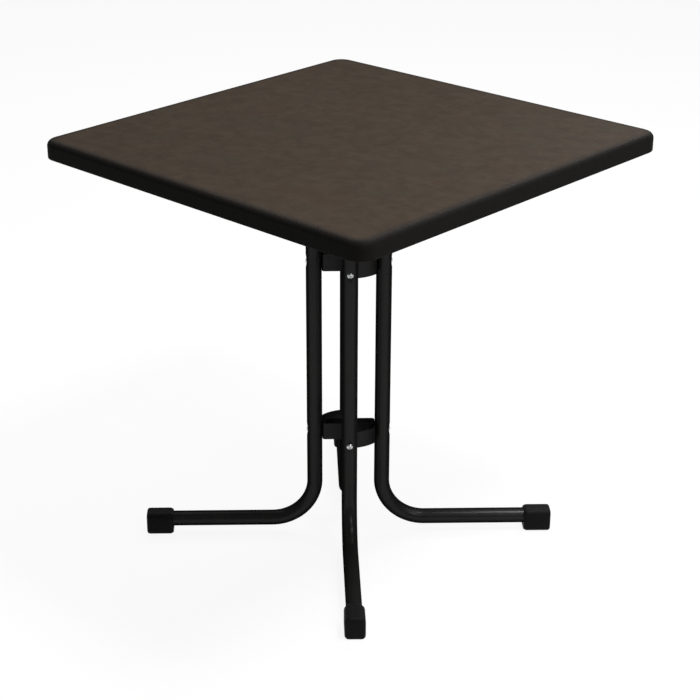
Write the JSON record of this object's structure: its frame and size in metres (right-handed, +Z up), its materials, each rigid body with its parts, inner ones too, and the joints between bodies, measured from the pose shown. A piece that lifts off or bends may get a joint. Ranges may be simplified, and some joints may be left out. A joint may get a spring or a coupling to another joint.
{
  "type": "folding patio table",
  "caption": "Square patio table on a base of bent tube legs tied by straps; the moulded top unlatches and tilts upright for storage.",
  "frame": {"origin": "on the floor under the middle of the table", "axes": "+Z up; X and Y along the top's sides; the legs stand on the top's diagonals, with the pictured near corner at +X, -Y"},
  "size_m": [0.7, 0.7, 0.72],
  "materials": {
    "top_laminate": "pressed wood-fibre board with a satin dark brown-grey mottled laminate",
    "black_tube": "satin black powder coat",
    "black_steel": "satin black powder coat",
    "black_plastic": "matte black moulded plastic",
    "zinc": "bright zinc plate",
    "spring_steel": "bare spring steel",
    "nylon": "natural nylon",
    "rubber": "matte black rubber"
  },
  "bodies": {
    "base": {"leg_front": "black_tube", "leg_right": "black_tube", "leg_back": "black_tube", "leg_left": "black_tube", "foot_front": "black_plastic", "foot_right": "black_plastic", "foot_back": "black_plastic", "foot_left": "black_plastic", "plug_front": "black_plastic", "plug_right": "black_plastic", "plug_back": "black_plastic", "plug_left": "black_plastic", "lower_strap_front": "black_steel", "lower_strap_back": "black_steel", "upper_strap_front": "black_steel", "upper_strap_back": "black_steel", "lower_strap_screws": "zinc", "upper_strap_screws": "zinc", "lower_strap_nuts": "zinc", "upper_strap_nuts": "zinc", "pivot_rod": "zinc", "pivot_nuts": "zinc", "pivot_washers": "nylon", "catch_rod": "zinc", "catch_nuts": "zinc", "catch_bushes": "nylon"},
    "table_top": {"table_top": "top_laminate", "rail_front": "black_steel", "rail_back": "black_steel", "rail_screws": "zinc", "latch_housing": "black_steel", "housing_screws": "zinc", "latch_pin": "zinc", "latch_spring": "spring_steel", "tilt_buffers": "rubber"},
    "latch": {"latch_lever": "black_steel", "lever_grip": "black_plastic"}
  },
  "joints": [
    {"name": "top_tilt", "type": "hinge", "parent": "base", "child": "table_top", "pos_m": [-0.04101, 0, 0.672], "axis": [0, -1, 0], "range_deg": [0, 90]},
    {"name": "latch_swing", "type": "hinge", "parent": "table_top", "child": "latch", "pos_m": [0.04001, 0, 0.69], "axis": [0, -1, 0], "range_deg": [0, 32], "stiffness_Nm_per_rad": 0.15, "springref_deg": -28.65}
  ]
}
